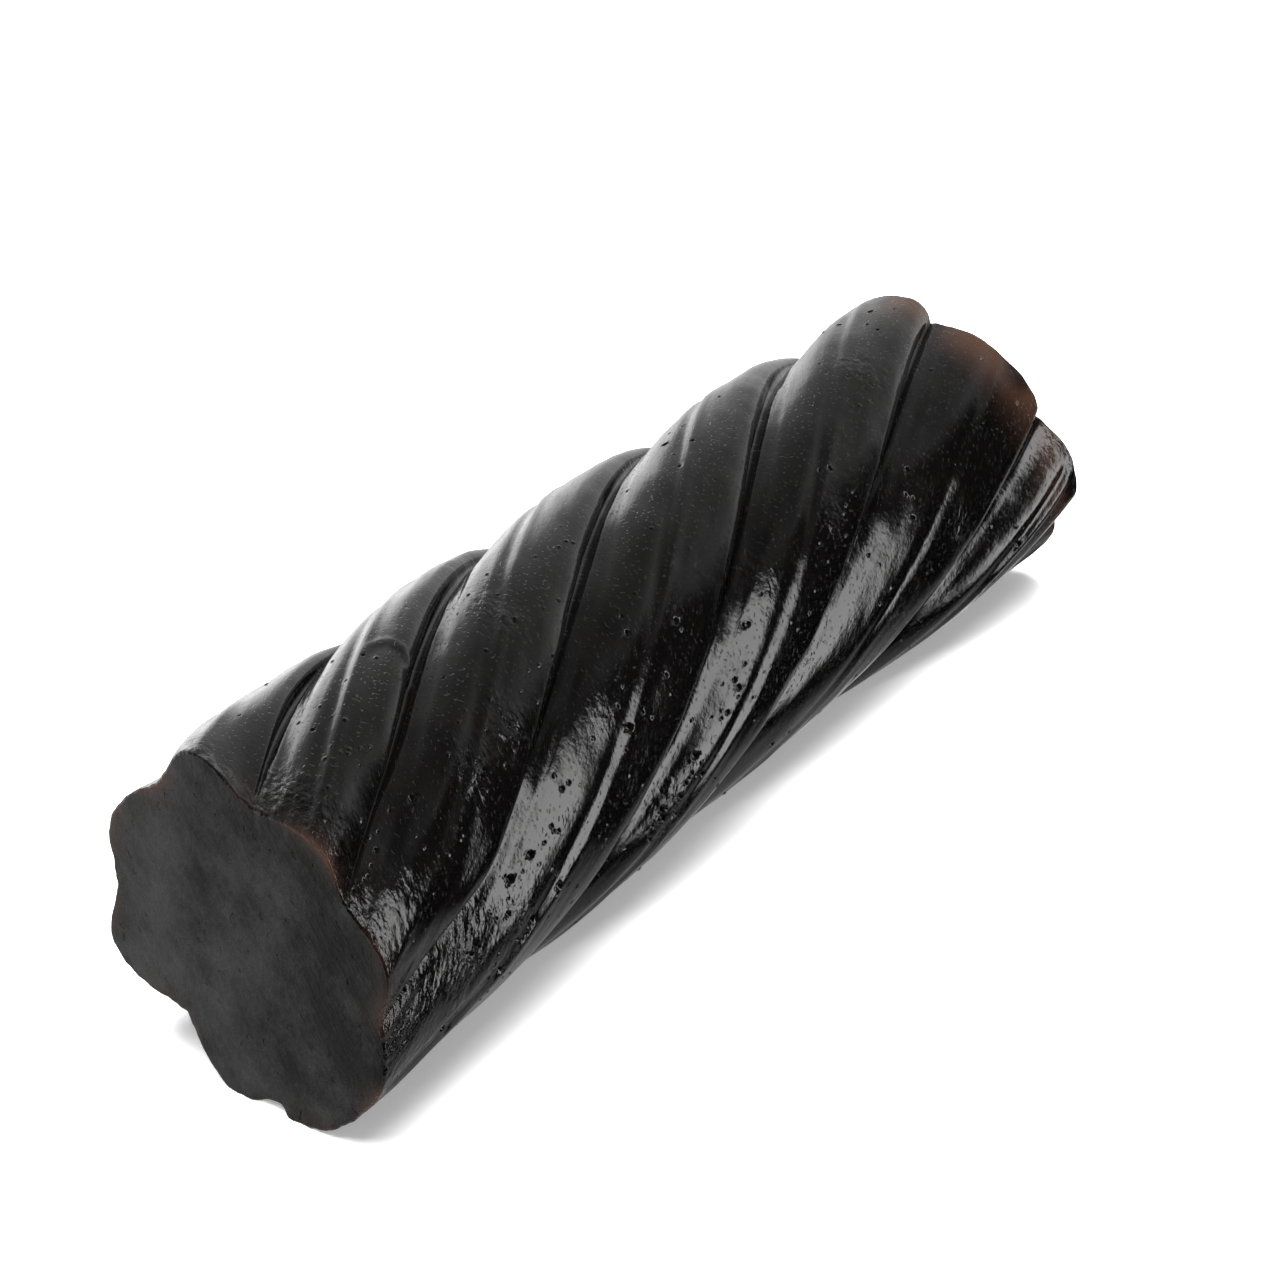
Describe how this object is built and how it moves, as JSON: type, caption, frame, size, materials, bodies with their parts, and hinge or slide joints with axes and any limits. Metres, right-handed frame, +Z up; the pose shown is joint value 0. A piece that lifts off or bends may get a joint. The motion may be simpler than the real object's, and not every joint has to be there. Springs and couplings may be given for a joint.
{
  "type": "twisted licorice piece",
  "caption": "Short thick rope piece of soft black licorice with deep left-hand twisted ribs and two knife-cut ends, lying on its side.",
  "frame": {"origin": "on the surface the piece lies on, under the middle of its box", "axes": "+X along the piece from the shown cut face to the far one, +Z up, -Y the side that shows"},
  "size_m": [0.052, 0.0162, 0.0151],
  "materials": {
    "licorice": "soft gloss, matte on the cut ends"
  },
  "bodies": {
    "root": {"licorice": "licorice"}
  },
  "joints": []
}
